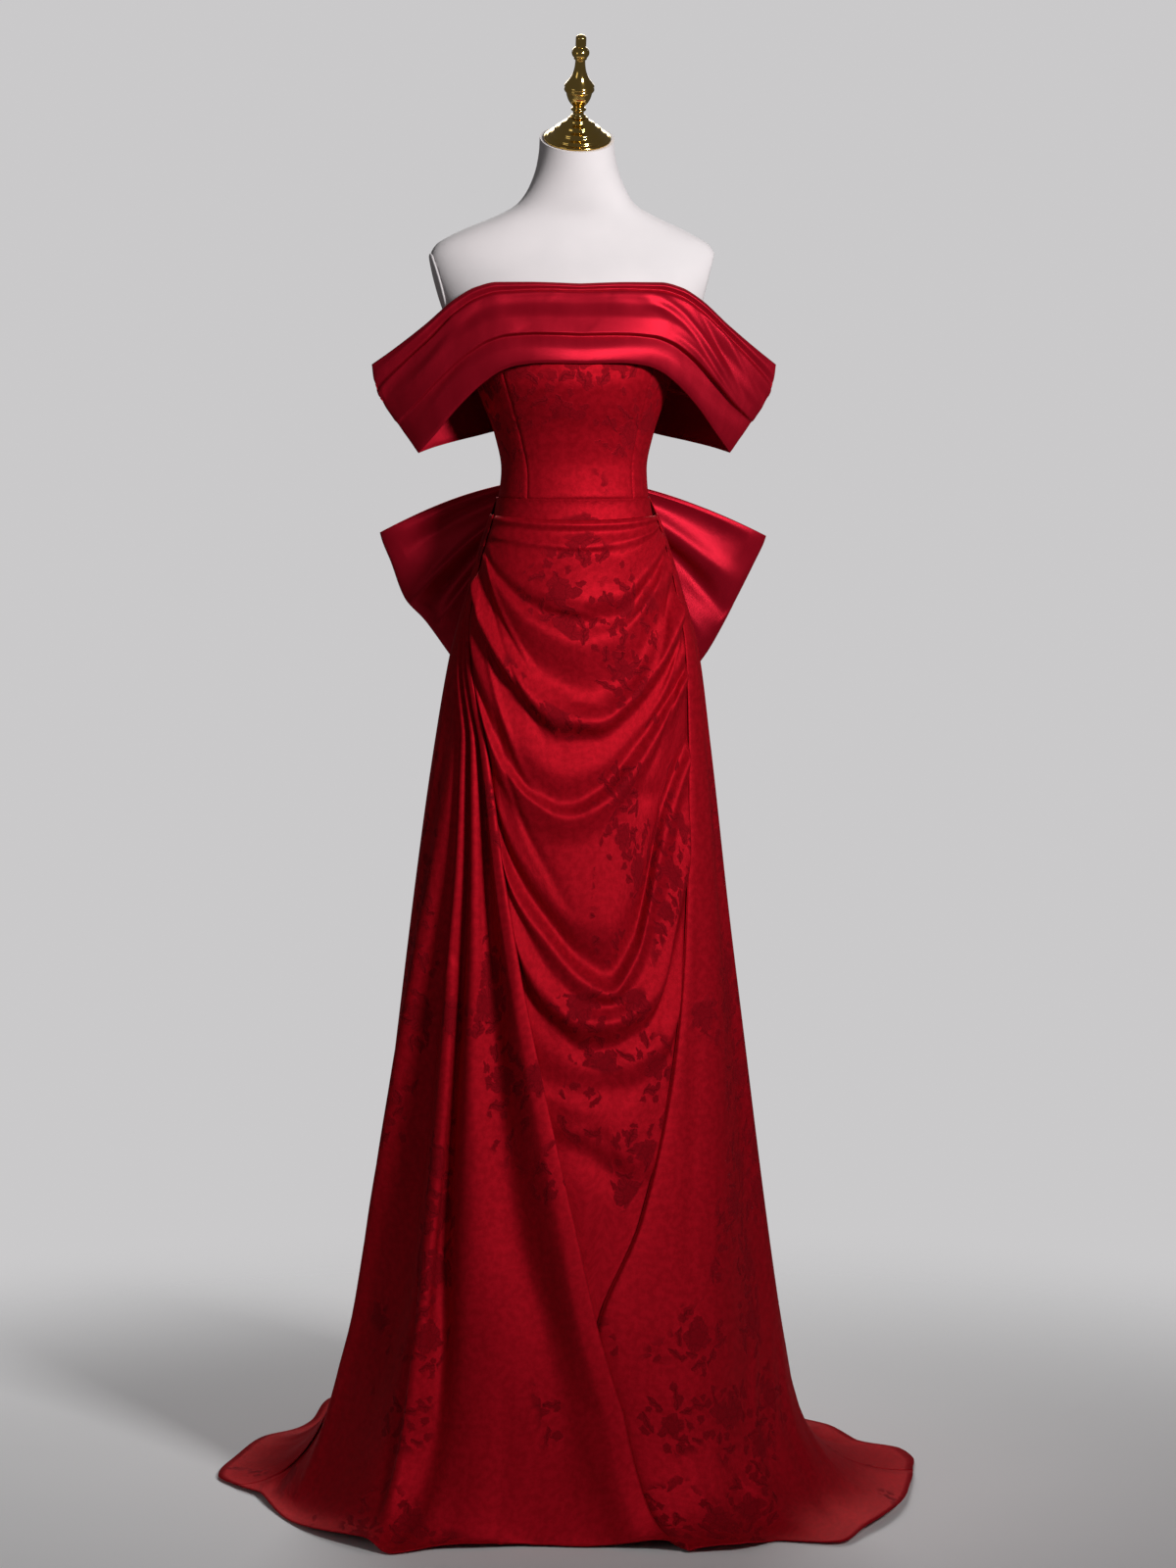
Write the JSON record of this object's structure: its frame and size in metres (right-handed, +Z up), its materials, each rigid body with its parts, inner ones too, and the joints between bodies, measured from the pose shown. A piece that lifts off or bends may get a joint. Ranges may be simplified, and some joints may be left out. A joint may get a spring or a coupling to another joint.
{
  "type": "off-shoulder evening gown with a train and a back bow on a limbless dress form",
  "caption": "Floor-length off-shoulder gown with pleated shoulder band, draped front, short train and back bow, worn on a limbless dress form with a brass finial and a plain round stand.",
  "frame": {"origin": "centre of the stand base's underside, on the floor", "axes": "+Z up through the stand pole; the gown faces -Y; +X is to the viewer's right"},
  "size_m": [0.9466, 0.9445, 1.9115],
  "materials": {
    "satin": "plain heavy satin, soft wide highlights",
    "jacquard": "satin woven with tone-on-tone flowers and leaves",
    "form_cover": "smooth knitted cover, matt",
    "brass": "polished",
    "stand_metal": "satin",
    "stand_black": "fine matt powder coat"
  },
  "bodies": {
    "root": {"form_torso": "form_cover", "arm_plate_left": "form_cover", "arm_plate_right": "form_cover", "neck_cap": "brass", "finial": "brass", "stand_pole": "stand_metal", "stand_base": "stand_black", "bodice_front_centre": "jacquard", "bodice_front_side_left": "jacquard", "bodice_front_side_right": "jacquard", "bodice_back_left": "jacquard", "bodice_back_right": "jacquard", "hip_yoke": "jacquard", "skirt_drape": "jacquard", "skirt_front_left": "jacquard", "skirt_front_right": "jacquard", "skirt_back_left": "jacquard", "skirt_back_right": "jacquard", "band_front": "satin", "band_back": "satin", "bow_loop_left": "satin", "bow_loop_right": "satin", "bow_knot": "satin"}
  },
  "joints": []
}
